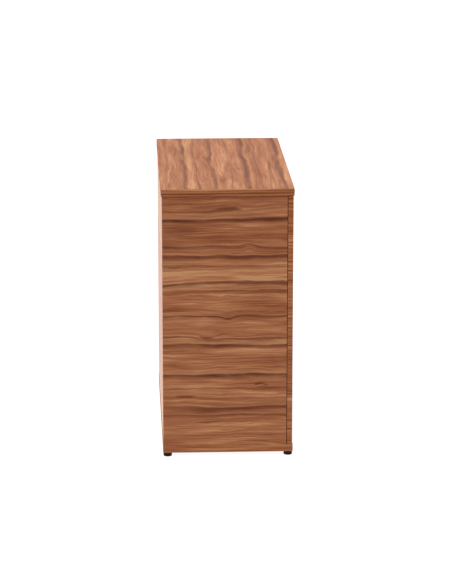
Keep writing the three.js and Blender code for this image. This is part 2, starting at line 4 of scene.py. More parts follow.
import bmesh
import bpy
import numpy as np
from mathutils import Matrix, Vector

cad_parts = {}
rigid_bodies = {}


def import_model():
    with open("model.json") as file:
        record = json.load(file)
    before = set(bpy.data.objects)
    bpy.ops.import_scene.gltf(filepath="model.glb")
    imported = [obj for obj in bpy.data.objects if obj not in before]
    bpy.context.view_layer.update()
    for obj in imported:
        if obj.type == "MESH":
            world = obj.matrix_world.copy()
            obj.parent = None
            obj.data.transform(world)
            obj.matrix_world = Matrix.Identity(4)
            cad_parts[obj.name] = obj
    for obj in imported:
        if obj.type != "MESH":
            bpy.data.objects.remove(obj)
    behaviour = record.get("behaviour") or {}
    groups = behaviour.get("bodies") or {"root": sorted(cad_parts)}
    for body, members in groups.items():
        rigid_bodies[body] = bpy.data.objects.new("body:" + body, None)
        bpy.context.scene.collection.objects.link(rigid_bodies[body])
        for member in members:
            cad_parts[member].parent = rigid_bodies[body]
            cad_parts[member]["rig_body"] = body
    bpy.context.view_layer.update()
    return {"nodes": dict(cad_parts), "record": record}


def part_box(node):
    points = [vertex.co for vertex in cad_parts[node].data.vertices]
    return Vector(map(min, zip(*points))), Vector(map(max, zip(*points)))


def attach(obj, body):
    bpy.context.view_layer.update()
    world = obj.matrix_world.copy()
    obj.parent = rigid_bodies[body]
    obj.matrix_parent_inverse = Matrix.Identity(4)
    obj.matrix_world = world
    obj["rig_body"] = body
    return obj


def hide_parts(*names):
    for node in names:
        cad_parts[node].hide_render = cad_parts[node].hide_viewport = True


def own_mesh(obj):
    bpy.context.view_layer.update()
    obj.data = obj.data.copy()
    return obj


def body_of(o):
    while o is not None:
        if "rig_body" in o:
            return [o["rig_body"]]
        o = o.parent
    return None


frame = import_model()
MM = 0.001
WELD = 0.001 * MM  # corners closer than this are one corner

# ---------------------------------------------------------------- small helpers


def linear(code):
    """An sRGB hex colour as linear numbers, opaque."""
    parts = [int(code[i : i + 2], 16) / 255 for i in (1, 3, 5)]
    return [c / 12.92 if c <= 0.04045 else ((c + 0.055) / 1.055) ** 2.4 for c in parts] + [1]


def add(tree, kind, inputs=(), stops=(), out=0, **settings):
    """Adds a node and returns its output out, or the node itself where out is None.

    It takes the node's settings, its ramp's stops as (place, colour), and its inputs as values or sockets,
    either by name or in order.
    """
    made = tree.nodes.new("ShaderNode" + kind)
    for key, value in settings.items():
        setattr(made, key, value)
    if stops:
        ramp = made.color_ramp
        while len(ramp.elements) < len(stops):
            ramp.elements.new(0.5)
        for element, (place, colour) in zip(ramp.elements, stops):
            element.position = place
            element.color = colour
    for key, value in inputs.items() if isinstance(inputs, dict) else enumerate(inputs):
        if isinstance(value, bpy.types.NodeSocket):
            tree.links.new(value, made.inputs[key])
        else:
            made.inputs[key].default_value = value
    return made if out is None else made.outputs[out]


def new_material(name, **sockets):
    """A material with its Principled shader's own sockets set: (material, tree, shader)."""
    material = bpy.data.materials.new(name)
    material.use_nodes = True
    tree = material.node_tree
    shader = tree.nodes["Principled BSDF"]
    for key, value in sockets.items():
        shader.inputs[key.replace("_", " ")].default_value = value
    return material, tree, shader


def place_in_mm(tree):
    """The object's own coordinates, in millimetres."""
    coords = add(tree, "TexCoord", out="Object")
    return add(tree, "VectorMath", {0: coords, "Scale": 1 / MM}, operation="SCALE")


def blots(tree, place, size, detail=2.0, rough=0.5):
    """Clouds about 0.5, with blots of that size in mm along each axis.

    The place is divided by the size first, so that the noise itself keeps a scale of 1.
    """
    shrunk = add(tree, "VectorMath", (place, [1 / one for one in size]), operation="MULTIPLY")
    return add(tree, "TexNoise", {"Vector": shrunk, "Scale": 1.0, "Detail": detail, "Roughness": rough})


# ---------------------------------------------------------------- walnut laminate
# Walnut-pattern melamine paper pressed on particle board. Long wavy veins, each soft below and sharp
# above with a pale line over it, lie on a ground that drifts from tan to red-brown. The paper is
# satin, with fine pressed pores.
GROUND = ("#65321C", "#7A452A", "#885335", "#966040", "#A97953")
PALE_LINE = "#B0845B"
VEIN_DARK = "#4E2110"
VEIN_VEIL = "#6F3F2C"
DECOR_WIDTH = 940.0  # mm of pattern across the grain before it turns back on itself

# (middle of the vein, width, strength) in mm across the grain, from the lower edge upwards
UPRIGHT_VEINS = [
    (71, 5, 0.5),
    (144, 6, 0.7),
    (170, 9, 0.8),
    (204, 5, 0.4),
    (236, 6, 0.6),
    (285, 12, 0.9),
    (345, 4, 0.3),
    (392, 11, 0.95),
    (419, 6, 0.65),
    (493, 8, 0.75),
    (580, 7, 0.65),
    (606, 10, 0.8),
    (671, 7, 0.7),
    (706, 11, 0.85),
    (739, 7, 0.75),
    (834, 10, 0.95),
    (866, 5, 0.5),
    (915, 5, 0.55),
]
# the same across the top board, from its back edge to its front edge
TOP_VEINS = [
    (26, 8, 0.35),
    (91, 15, 0.68),
    (130, 7, 0.5),
    (188, 11, 0.56),
    (247, 6, 0.36),
    (305, 15, 0.7),
    (345, 8, 0.3),
    (425, 15, 0.66),
]
# (place across the grain, how pale the ground is there, from 0 red-brown to 1 tan)
UPRIGHT_GROUND = [
    (0, 0.55),
    (104, 0.7),
    (155, 0.4),
    (215, 0.6),
    (262, 0.72),
    (320, 0.55),
    (372, 0.72),
    (440, 0.6),
    (520, 0.5),
    (560, 0.68),
    (590, 0.72),
    (645, 0.82),
    (690, 0.6),
    (722, 0.5),
    (770, 0.32),
    (813, 0.62),
    (850, 0.6),
    (895, 0.45),
]
TOP_GROUND = [
    (0, 0.6),
    (14, 0.76),
    (60, 0.64),
    (112, 0.8),
    (160, 0.56),
    (220, 0.74),
    (275, 0.7),
    (330, 0.52),
    (378, 0.68),
    (405, 0.6),
    (444, 0.8),
]
# (along the grain, across it, half length, half height, rise) of the swirls that veins bend round
SIDE_KNOTS = [
    (-60, 739, 42, 30, 10),
    (12, 497, 40, 32, -9),
    (80, 425, 60, 24, -6),
    (-103, 250, 34, 20, 5),
]
TOP_KNOTS = [
    (-150, 275, 120, 26, 12),
    (120, 150, 160, 40, -11),
    (-250, 60, 120, 34, 10),
]
# (along, across, half length, half height, strength) of short dark flames that end in points
SIDE_FLECKS = [
    (10, 871, 52, 6, 0.75),
    (178, 795, 75, 30, 0.35),
    (195, 669, 62, 6, 0.6),
    (12, 488, 26, 9, 0.8),
    (84, 424, 34, 7, 0.8),
    (-96, 249, 26, 6, 0.85),
    (-118, 243, 12, 5, 0.7),
    (158, 203, 50, 7, 0.65),
    (-40, 560, 70, 5, 0.4),
    (60, 118, 80, 6, 0.45),
]
TOP_FLECKS = [
    (-300, 212, 90, 13, 0.4),
    (-120, 268, 60, 8, 0.5),
    (200, 64, 120, 9, 0.42),
    (-60, 390, 140, 8, 0.35),
    (260, 330, 130, 9, 0.42),
    (-380, 35, 60, 12, 0.35),
]
# (length, width, swing) in mm of the veins' slow bends, their ripples and their tremble
BENDS = ((430, 110, 44), (95, 26, 11), (24, 9, 2.6))
# (length, width, swing) of the growth lines, coarse to fine, in mm and in steps of paleness
GROWTH_LINES = ((330, 14, 0.8), (420, 5, 1.0), (140, 2.5, 0.95))
# (length, width) in mm of the blots by which other things vary over a board
DRIFT_BLOTS = (240, 30)  # the tone of the ground
VEIL_BLOTS = (190, 19)  # purplish veils
FADE_BLOTS = (150, 22)  # the strength of the veins
RAGGED_BLOTS = (40, 4)  # the rims of the flecks
# pressed pores, 1 mm wide where real ones are a quarter of that, or they would not show at all
PORE_BLOTS = (30, 1)
PORE_DEPTH = 0.05


def vein_stops(veins):
    """Five stops a vein: red is its dark core, soft below and sharp above, and green is the pale line."""
    stops = []
    for middle, width, strength in veins:
        stops += [
            ((middle - 1.5 * width) / DECOR_WIDTH, [0, 0, 0, 1]),
            ((middle - 0.25 * width) / DECOR_WIDTH, [strength, 0, 0, 1]),
            ((middle + 0.15 * width) / DECOR_WIDTH, [strength, 0, 0, 1]),
            ((middle + 0.55 * width) / DECOR_WIDTH, [0, 0.4 * strength, 0, 1]),
            ((middle + 1.3 * width) / DECOR_WIDTH, [0, 0, 0, 1]),
        ]
    return stops


def ellipse_away(tree, place, middle, half):
    """How far the place is from the middle of an ellipse: 0 there and 1 at its rim."""
    off = add(tree, "VectorMath", (place, (*middle, 0)), operation="SUBTRACT")
    off = add(tree, "VectorMath", (off, (1 / half[0], 1 / half[1], 0)), operation="MULTIPLY")
    return add(tree, "VectorMath", (off,), operation="LENGTH", out="Value")


def bend_veins(tree, flat, across, knots):
    """The place across the grain after the veins' bends, ripples and tremble, and a swell at each knot."""
    for long, wide, swing in BENDS:
        drift = blots(tree, flat, (long, wide, 1))
        bend = add(tree, "MapRange", (drift, 0, 1, -swing / 2, swing / 2))
        across = add(tree, "Math", (across, bend), operation="ADD")
    for knot_u, knot_v, half_long, half_high, rise in knots:
        away = ellipse_away(tree, flat, (knot_u, knot_v), (half_long, half_high))
        swell = add(tree, "MapRange", (away, 0, 1, -rise, 0), interpolation_type="SMOOTHERSTEP")
        across = add(tree, "Math", (across, swell), operation="ADD")
    return across


def ground_colour(tree, flat, grown, share, ground, drift, lines):
    """The wood between the veins: pale and deep zones, drifting blots, growth lines and purplish veils."""
    stops = [(at / DECOR_WIDTH, [pale] * 3 + [1]) for at, pale in ground]
    pale = add(tree, "ValToRGB", (share,), stops)
    layers = [(flat, *DRIFT_BLOTS, drift)]
    layers += [(grown, long, wide, swing * lines) for long, wide, swing in GROWTH_LINES]
    for source, long, wide, swing in layers:
        blot = blots(tree, source, (long, wide, 1), 2.0, 0.55)
        step = add(tree, "MapRange", (blot, 0, 1, -swing / 2, swing / 2))
        pale = add(tree, "Math", (pale, step), operation="ADD")
    tones = [(at / (len(GROUND) - 1), linear(code)) for at, code in enumerate(GROUND)]
    colour = add(tree, "ValToRGB", (pale,), tones)
    veil = add(tree, "MapRange", (blots(tree, grown, (*VEIL_BLOTS, 1)), 0.52, 0.72, 0, 0.5))
    return add(tree, "Mix", {0: veil, 6: colour, 7: linear(VEIN_VEIL)}, out=2, data_type="RGBA")


def vein_marks(tree, flat, grown, share, veins, flecks):
    """How dark the veins and flecks make a place, and how much of a pale line it has.

    The veins are drawn in three ramps, as one holds only so many stops, and fade in and out along the board.
    """
    third = -(-len(veins) // 3)
    drawn = (0, 0, 0)
    for first in range(0, len(veins), third):
        some = add(tree, "ValToRGB", (share,), vein_stops(veins[first : first + third]))
        drawn = add(tree, "VectorMath", (drawn, some), operation="MAXIMUM")
    fade = add(tree, "MapRange", (blots(tree, flat, (*FADE_BLOTS, 1)), 0.3, 0.6, 0.5, 1.1))
    drawn = add(tree, "VectorMath", {0: drawn, "Scale": fade}, operation="SCALE")
    dark, pale, _ = add(tree, "SeparateXYZ", (drawn,), out=None).outputs
    ragged = blots(tree, grown, (*RAGGED_BLOTS, 1), 3.0, 0.6)
    ragged = add(tree, "MapRange", (ragged, 0, 1, -0.7, 0.7))
    for fleck_u, fleck_v, half_long, half_high, strength in flecks:
        away = ellipse_away(tree, grown, (fleck_u, fleck_v), (half_long, half_high))
        away = add(tree, "Math", (away, ragged), operation="ADD")
        fleck = add(tree, "MapRange", (away, 0.35, 1, strength, 0), interpolation_type="SMOOTHSTEP")
        dark = add(tree, "Math", (dark, fleck), operation="MAXIMUM")
    return dark, pale


def walnut_laminate(name, along, across, veins, ground, **extras):
    """Satin melamine. along and across turn a place in mm into mm along and across the grain.

    extras may hold knots and flecks, the pattern's shift, the drift of its tone, the weight of its growth
    lines, the rough side of its roughness, and any of the shader's own settings.
    """
    usual = {"knots": (), "flecks": (), "shift": (0, 0), "drift": 1.2, "lines": 1.0, "rough": 0.42}
    knots, flecks, shift, drift, lines, rough = (extras.pop(key, value) for key, value in usual.items())
    material, tree, shader = new_material(name, **{"IOR": 1.5, "Specular_IOR_Level": 0.1, **extras})
    mm = place_in_mm(tree)
    ways = (along, across)
    u, v = (add(tree, "VectorMath", (mm, way), operation="DOT_PRODUCT", out="Value") for way in ways)
    u, v = (add(tree, "Math", (at, float(by)), operation="ADD") for at, by in zip((u, v), shift))
    flat = add(tree, "CombineXYZ", (u, v))
    bent = bend_veins(tree, flat, v, knots)
    grown = add(tree, "CombineXYZ", (u, bent))
    turned = add(tree, "Math", (bent, DECOR_WIDTH), operation="PINGPONG")
    share = add(tree, "Math", (turned, DECOR_WIDTH), operation="DIVIDE")

    colour = ground_colour(tree, flat, grown, share, ground, drift, lines)
    dark, pale = vein_marks(tree, flat, grown, share, veins, flecks)
    for amount, tone in ((pale, PALE_LINE), (dark, VEIN_DARK)):
        colour = add(tree, "Mix", {0: amount, 6: colour, 7: linear(tone)}, out=2, data_type="RGBA")

    # the pores darken the print, dull its shine and dent it
    pores = blots(tree, grown, (*PORE_BLOTS, 1), 2.0, 0.6)
    tick = add(tree, "MapRange", (pores, 0.3, 0.7, 0.88, 1.1))
    colour = add(tree, "VectorMath", {0: colour, "Scale": tick}, operation="SCALE")
    gloss = add(tree, "MapRange", (pores, 0.3, 0.7, rough + 0.08, rough))
    relief = add(tree, "Bump", {"Height": pores, "Distance": PORE_DEPTH * MM, "Strength": 0.35})
    for made, socket in ((colour, "Base Color"), (gloss, "Roughness"), (relief, "Normal")):
        tree.links.new(made, shader.inputs[socket])
    return material


UPRIGHT = {"along": (1, 1, 0), "across": (0, 0, 1), "veins": UPRIGHT_VEINS, "ground": UPRIGHT_GROUND}
FLAT = {"along": (1, 0, 0), "across": (0, -1, 0), "veins": TOP_VEINS, "ground": TOP_GROUND}
LEFT = {**UPRIGHT, "knots": SIDE_KNOTS, "flecks": SIDE_FLECKS}
walnut_left = walnut_laminate("walnut_laminate_left", shift=(447, -6), **LEFT)
walnut_right = walnut_laminate("walnut_laminate_right", shift=(1700, 310), **UPRIGHT)
walnut_front = walnut_laminate("walnut_laminate_front", shift=(4100, 130), **UPRIGHT)
# the back's cheaper paper is a little waxy, so it turns pale when seen along its face
WAXY = {"Specular_IOR_Level": 0.4, "Sheen_Weight": 0.25, "Sheen_Roughness": 0.4}
WAXY["Sheen_Tint"] = linear("#FFE2D0")
walnut_back = walnut_laminate("walnut_laminate_back", shift=(7300, 520), **UPRIGHT, **WAXY)
TOP = {**FLAT, "knots": TOP_KNOTS, "flecks": TOP_FLECKS, "drift": 0.85, "lines": 0.85}
walnut_top = walnut_laminate("walnut_laminate_top", shift=(0, 237), Specular_IOR_Level=0.22, **TOP)
walnut_base = walnut_laminate("walnut_laminate_base", shift=(2500, 237), **FLAT)
# Edge band: the same pattern printed finer, on 1 mm plastic strip that is quite dull.
BAND = {**UPRIGHT, "across": (0, 0, 3.34), "shift": (900, -35), "rough": 0.7, "Specular_IOR_Level": 0.0}
walnut_band = walnut_laminate("walnut_edge_band", **BAND)


# ---------------------------------------------------------------- the other finishes


PLY_THICK = 12.0
PLY_VENEERS = 9


def finish(name, deep, pale, grain, rough, bump=0.0, detail=3.0, **sockets):
    """A finish that clouds between two close colours, in blots of grain mm along each axis.

    Its roughness runs from rough[0] on the deep blots to rough[1], and bump is their depth in mm.
    """
    material, tree, shader = new_material(name, **sockets)
    mottle = blots(tree, place_in_mm(tree), grain, detail)
    colour = add(tree, "ValToRGB", (mottle,), [(0.3, linear(deep)), (0.7, linear(pale))])
    tree.links.new(colour, shader.inputs["Base Color"])
    gloss = add(tree, "MapRange", (mottle, 0.3, 0.7, *rough))
    tree.links.new(gloss, shader.inputs["Roughness"])
    if bump:
        relief = add(tree, "Bump", {"Height": mottle, "Distance": bump * MM, "Strength": 0.6})
        tree.links.new(relief, shader.inputs["Normal"])
    return material


def birch_edge(axis):
    """The cut edge of 12 mm birch plywood: nine veneers, in turn pale long grain and darker end grain."""
    material, tree, shader = new_material(f"birch_plywood_edge_{'xyz'[axis]}", Roughness=0.6)
    mm = place_in_mm(tree)
    veneer = PLY_THICK / PLY_VENEERS
    depth = add(tree, "SeparateXYZ", (mm,), out=axis)
    wander = add(tree, "MapRange", (blots(tree, mm, (60, 60, 60)), 0, 1, -0.5, 0.5))
    depth = add(tree, "Math", (depth, wander), operation="ADD")
    depth = add(tree, "Math", (depth, veneer), operation="PINGPONG")
    share = add(tree, "Math", (depth, veneer), operation="DIVIDE")
    stops = [(0.0, linear("#A98558")), (0.42, linear("#B8935F")), (0.5, linear("#E0C79C"))]
    colour = add(tree, "ValToRGB", (share,), stops)
    flecks = add(tree, "MapRange", (blots(tree, mm, (3, 3, 3), 4.0), 0.3, 0.7, 0.85, 1.1))
    colour = add(tree, "VectorMath", {0: colour, "Scale": flecks}, operation="SCALE")
    tree.links.new(colour, shader.inputs["Base Color"])
    return material


# Lacquered birch plywood: rotary-cut veneer, pale and almost plain, with long faint flame.
birch_upright = finish("birch_plywood_upright", "#CBAB78", "#E3CBA0", (60, 60, 8), (0.42, 0.32), detail=5.0)
birch_flat = finish("birch_plywood_flat", "#CBAB78", "#E3CBA0", (90, 9, 60), (0.42, 0.32), detail=5.0)
birch_edges = [birch_edge(axis) for axis in range(3)]
# Moulded polypropylene with a fine spark-eroded texture: a faint grey gleam on near black.
DULL = {"Specular_IOR_Level": 0.15}
black_plastic = finish("black_moulded_plastic", "#080707", "#100F0E", (0.7,) * 3, (0.6, 0.5), 0.04, **DULL)
# Moulded rubber: dull, slightly grey where it is dusty.
rubber = finish("moulded_rubber", "#1A1A19", "#2A2A28", (1.5,) * 3, (0.85, 0.75), 0.02)
# Natural nylon: milky off-white with a soft gloss.
nylon = finish("natural_nylon", "#DDD8C8", "#EAE6DA", (6,) * 3, (0.4, 0.3))
# Brushed stainless steel: fine lines along the length, 0.6 mm apart, or they would not show at all.
STEEL_LINES = (60, 0.6, 0.6)
brushed_stainless = finish(
    "brushed_stainless", "#A9A8A4", "#D2D1CC", STEEL_LINES, (0.38, 0.24), 0.01, Metallic=1.0
)
# Satin nickel plate: a warm, soft shine with faint handling marks.
nickel = finish("satin_nickel_plate", "#BDB7A9", "#D6D1C4", (9,) * 3, (0.28, 0.17), Metallic=1.0)
# Passivated zinc plate: bluish grey, faintly cloudy, half matt.
zinc = finish("passivated_zinc_plate", "#A3A7AA", "#B9BDC0", (14,) * 3, (0.4, 0.3), Metallic=1.0)
# Oil-tempered spring wire: dark grey-brown, smooth, with an oily gleam.
spring_steel = finish("oil_tempered_wire", "#4A4845", "#6B6863", (4,) * 3, (0.4, 0.28), Metallic=1.0)
# Powder coat, baked: mid grey with an orange-peel skin of about 2 mm.
powder_coat = finish("grey_powder_coat", "#6C6F71", "#787B7D", (2,) * 3, (0.55, 0.45), 0.03)


def needled_felt():
    """Needled felt: matted grey-green fibres, pale and dark ones mixed, with a soft nap at the edges."""
    material, tree, shader = new_material("grey_needled_felt", Roughness=0.95, Sheen_Weight=0.35)
    mm = place_in_mm(tree)
    mats = add(tree, "MapRange", (blots(tree, mm, (5, 5, 5), 5.0, 0.65), 0.3, 0.7, 0, 0.6))
    hairs = add(tree, "MapRange", (blots(tree, mm, (9, 0.7, 9), 3.0, 0.6), 0.3, 0.7, 0, 0.4))
    mixed = add(tree, "Math", (mats, hairs), operation="ADD")
    stops = [(0.0, linear("#5A605D")), (0.5, linear("#7B827E")), (1.0, linear("#9CA39E"))]
    colour = add(tree, "ValToRGB", (mixed,), stops)
    tree.links.new(colour, shader.inputs["Base Color"])
    relief = add(tree, "Bump", {"Height": mixed, "Distance": 0.5 * MM, "Strength": 0.7})
    tree.links.new(relief, shader.inputs["Normal"])
    return material


grey_felt = needled_felt()
FINISH_OF_SLOT = {
    "black_plastic": black_plastic,
    "rubber": rubber,
    "nylon": nylon,
    "brushed_stainless": brushed_stainless,
    "nickel_plate": nickel,
    "zinc_plate": zinc,
    "spring_steel": spring_steel,
    "grey_powder_coat": powder_coat,
}


# ---------------------------------------------------------------- ways of making a piece


FLAT_WITHIN = math.radians(1)  # facets turned by less than this are one face
SHARP_FROM = math.radians(40)  # edges turned by more than this get rounded


def slot_of(node):
    """The record's material slot of a CAD node."""
    rows = frame["record"]["subparts"]
    return next(row["material_slot"] for row in rows if row["node"] == node)


def settle(piece, body, replaced=()):
    """Says what a piece moves with and which CAD nodes it stands for."""
    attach(piece, body)
    if replaced:
        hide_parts(*replaced)
    return piece


def softened(node, name, width, materials, pick=None):
    """A copy of a CAD node with whole faces and its edges rounded by width.

    pick(normal) is the place of a face's finish in materials.
    """
    source = frame["nodes"][node]
    mesh = source.data.copy()
    mesh.name = name
    mesh.materials.clear()
    for material in materials:
        mesh.materials.append(material)
    made = bmesh.new()
    made.from_mesh(mesh)
    bmesh.ops.remove_doubles(made, verts=made.verts, dist=WELD)
    bmesh.ops.dissolve_limit(made, angle_limit=FLAT_WITHIN, verts=made.verts, edges=made.edges)
    for face in made.faces:
        face.material_index = pick(face.normal) if pick else 0
        face.smooth = True
    made.to_mesh(mesh)
    made.free()
    piece = bpy.data.objects.new(name, mesh)
    bpy.context.collection.objects.link(piece)
    bevel = piece.modifiers.new("rounded_edges", "BEVEL")
    bevel.width = width
    bevel.segments = 2
    bevel.limit_method = "ANGLE"
    bevel.angle_limit = SHARP_FROM
    piece.modifiers.new("flat_faces", "WEIGHTED_NORMAL").weight = 100
    return settle(piece, body_of(source)[0], [node])


def surface(name, points, material, wrap=(False, False), lids=False):
    """A mesh of quads on a grid of points (rows, columns, 3) in mm.

    wrap joins the last row to the first, and the last column to the first. lids close the first and the
    last row with a flat face each.
    """
    rows, columns = points.shape[:2]
    down = np.arange(rows if wrap[0] else rows - 1)[:, None]
    across = np.arange(columns if wrap[1] else columns - 1)[None, :]
    below, beside = (down + 1) % rows, (across + 1) % columns
    corners = [down * columns + across, below * columns + across, below * columns + beside]
    corners.append(down * columns + beside)
    faces = np.stack(np.broadcast_arrays(*corners), axis=-1).reshape(-1, 4).tolist()
    if lids:
        faces.append(list(range(columns)))
        faces.append(list(range(rows * columns - 1, (rows - 1) * columns - 1, -1)))
    mesh = bpy.data.meshes.new(name)
    mesh.from_pydata((points.reshape(-1, 3) * MM).tolist(), [], faces)
    made = bmesh.new()
    made.from_mesh(mesh)
    bmesh.ops.remove_doubles(made, verts=made.verts, dist=WELD)
    bmesh.ops.recalc_face_normals(made, faces=made.faces)
    for face in made.faces:
        face.smooth = True
    made.to_mesh(mesh)
    made.free()
    mesh.materials.append(material)
    piece = bpy.data.objects.new(name, mesh)
    bpy.context.collection.objects.link(piece)
    return piece


def rounded(turn, squareness):
    """Cosine and sine of turn, pressed outwards towards a square: each keeps its sign and takes a root."""
    sides = np.stack([np.cos(turn), np.sin(turn)])
    return np.sign(sides) * np.abs(sides) ** (1 / squareness)


# ---------------------------------------------------------------- boards


def band_where(axis):
    """Faces square to axis take the first finish, and all other faces the second."""
    return lambda normal: 0 if abs(normal[axis]) > 0.5 else 1


BOARD_ROUND = 0.9 * MM
PLY_ROUND = 0.6 * MM
for node, face_finish, axis in (
    ("top_board", walnut_top, 2),
    ("base_board", walnut_base, 2),
    ("side_left", walnut_left, 0),
    ("side_right", walnut_right, 0),
    ("back_board", walnut_back, 1),
    ("front_panel", walnut_front, 1),
):
    softened(node, f"{node}_laminated", BOARD_ROUND, [face_finish, walnut_band], band_where(axis))

for node, axis in (
    ("bin_front", 1),
    ("bin_back", 1),
    ("bin_side_left", 0),
    ("bin_side_right", 0),
    ("bin_floor", 2),
    ("platform", 2),
):
    face_finish = birch_flat if axis == 2 else birch_upright
    softened(node, f"{node}_plywood", PLY_ROUND, [face_finish, birch_edges[axis]], band_where(axis))


# ---------------------------------------------------------------- bent, cast and turned pieces
# (node, rounding of its edges in mm)
for node, width in (
    ("slot_surround", 0.7),
    ("book_flap", 0.8),
    ("chute", 0.3),
    ("lock_body", 0.4),
    ("lock_body_nut", 0.3),
    ("lock_plug", 0.3),
    ("lock_cam", 0.4),
    ("lock_cam_nut", 0.3),
    ("lock_strike", 0.4),
    ("flap_pin", 0.3),
    ("flap_washer_left", 0.2),
    ("flap_washer_right", 0.2),
    ("guide_shoe_left", 0.6),
    ("guide_shoe_right", 0.6),
    *((f"glide_{place}", 0.9) for place in ("front_left", "front_right", "back_left", "back_right")),
    *((f"guide_rail_{side}", 0.25) for side in ("left", "right")),
    *(
        (f"runner_{part}_{side}", 0.2)
        for part in ("outer", "middle", "inner")
        for side in ("left", "right")
    ),
    *(
        (f"cam_fitting_{end}_{level}_{side}", 0.25)
        for end in ("front", "back")
        for level in ("low", "high")
        for side in ("left", "right")
    ),
):
    softened(node, f"{node}_finished", width * MM, [FINISH_OF_SLOT[slot_of(node)]])


ROUND_STEPS = 40  # corners round a handle's section and round a buffer
HANDLE_STEPS = 65  # sections along the handle
HANDLE_SQUARENESS = 2.2  # of its section, where 1 is an ellipse
HANDLE_FOOT = 7.0  # half the bar's width at its feet, in mm
HANDLE_CROWN = 3.25  # and at its crown
BUFFER_RINGS = 14


def full_turn(steps):
    """The angles of so many corners round a circle, as one row."""
    return np.linspace(0, 2 * math.pi, steps, endpoint=False)[None, :]


def box_in_mm(node):
    """The low and the high corner of a CAD node's box, in mm."""
    return [np.array(corner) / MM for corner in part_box(node)]


def bow(node="bow_handle"):
    """A bow handle: a rounded-square section carried along half an ellipse.

    Along: turn a from 0 to half a turn; out from the panel by the ellipse's depth times sine a, and across
    by its half width times cosine a. Round: the section is wide at the feet and thin at the crown, as it
    adds its own share of the two half axes; up by half the bar's height.
    """
    low, high = box_in_mm(node)
    outer = np.array([(high[0] - low[0]) / 2, high[1] - low[1]])
    turn = np.linspace(0, math.pi, HANDLE_STEPS)[:, None]
    across, up = rounded(full_turn(ROUND_STEPS), HANDLE_SQUARENESS)
    x = (outer[0] - HANDLE_FOOT + HANDLE_FOOT * across) * np.cos(turn)
    y = high[1] - (outer[1] - HANDLE_CROWN + HANDLE_CROWN * across) * np.sin(turn)
    z = (low[2] + high[2]) / 2 + up * (high[2] - low[2]) / 2 + 0 * turn
    piece = surface("bow_handle_swept", np.stack([x, y, z], -1), brushed_stainless, (False, True), lids=True)
    settle(piece, "front_unit", [node])


bow()


def buffer(node):
    """A rubber dome: its radius falls by the cosine and its height grows by the sine of a quarter turn."""
    low, high = box_in_mm(node)
    centre = (low + high) / 2
    rise = np.linspace(0, math.pi / 2, BUFFER_RINGS)[:, None]
    turn = full_turn(ROUND_STEPS)
    radius = (high[0] - low[0]) / 2 * np.cos(rise)
    x = centre[0] + radius * np.cos(turn)
    z = centre[2] + radius * np.sin(turn)
    y = high[1] - (high[1] - low[1]) * np.sin(rise) + 0 * turn
    points = np.stack([x, y, z], -1)
    foot = np.stack([centre[0] + 0 * turn, high[1] + 0 * turn, centre[2] + 0 * turn], -1)
    piece = surface(f"{node}_dome", np.concatenate([foot, points]), rubber, (False, True))
    settle(piece, "cabinet", [node])


for level in ("low", "high"):
    for side in ("left", "right"):
        buffer(f"buffer_{level}_{side}")


DOME_RINGS = 22
SCREW_STEPS = 48  # corners round a screw
DOME_FALL = 0.55  # of the head's height, from its middle to its rim
CROSS_ARM = 0.13  # half the width of a recess's arm, as a share of the head's radius
CROSS_REACH = 0.55  # the arm's length, as the same share
CROSS_SINK = 0.6  # the recess's depth, as a share of the head's height


def screw(name, head_at, out, head_radius, head_height, shank_radius, shank_length):
    """A pan-head screw with a cross recess, turned about the axis out from head_at, the seat of its head.

    The profile runs from the middle of the head over its dome, where height falls by the fourth power of
    the radius's share, down under the head, and along the shank to its tip. The recess sinks the dome where
    a place lies within an arm of the cross, by a smooth step of how deep inside the arm it is.
    """
    dome = np.linspace(0, 1, DOME_RINGS)
    radii = np.concatenate([dome * head_radius, [head_radius, shank_radius, shank_radius, 0]])
    tail = [0.0, 0.0, -shank_length, -shank_length]
    heights = np.concatenate([head_height * (1 - DOME_FALL * dome**4), tail])
    turn = full_turn(SCREW_STEPS)
    a, b = radii[:, None] * np.cos(turn), radii[:, None] * np.sin(turn)
    arm, reach = CROSS_ARM * head_radius, CROSS_REACH * head_radius
    inside = np.maximum(
        np.minimum(arm - np.abs(a), reach - np.abs(b)), np.minimum(arm - np.abs(b), reach - np.abs(a))
    )
    sink = np.clip(inside / arm + 0.5, 0, 1)
    sink = CROSS_SINK * head_height * sink**2 * (3 - 2 * sink)
    sink *= (np.arange(len(radii)) < len(dome))[:, None]
    out = Vector(out)
    side = np.array(out.orthogonal().normalized())
    other = np.array(out.cross(Vector(side)))
    up = (heights[:, None] - sink)[..., None] * np.array(out)
    points = np.array(head_at) + a[..., None] * side + b[..., None] * other + up
    return surface(name, points, zinc, (False, True))


# head and shank of the screws that the CAD holds, and of the small ones added below, in mm
HEAD_HEIGHT = 2.6
SHANK_RADIUS = 2.0
SMALL_SHANK = (1.6, 8.0)


def screw_in_place(node):
    """The detailed screw of a CAD screw, whose head faces the inside of the cabinet."""
    low, high = box_in_mm(node)
    centre = (low + high) / 2
    seat = high[1] - HEAD_HEIGHT
    head_at = (centre[0], seat, centre[2])
    head = ((high[0] - low[0]) / 2, HEAD_HEIGHT)
    piece = screw(f"{node}_crosshead", head_at, (0, 1, 0), *head, SHANK_RADIUS, seat - low[1])
    settle(piece, "front_unit", [node])


for side in ("left", "right"):
    for node in (f"handle_screw_{side}", f"bin_screw_low_{side}", f"bin_screw_high_{side}"):
        screw_in_place(node)

# four screws hold the chute's flange to the front panel; in mm, where their seats are and how high
CHUTE_SEAT, CHUTE_SCREWS_UP = -189.6, 678
CHUTE_HEAD = (4.0, 2.0)
for place, x in (("outer_left", -165), ("inner_left", -60), ("inner_right", 60), ("outer_right", 165)):
    head_at = (x, CHUTE_SEAT, CHUTE_SCREWS_UP)
    piece = screw(f"chute_screw_{place}", head_at, (0, 1, 0), *CHUTE_HEAD, *SMALL_SHANK)
    settle(piece, "front_unit")
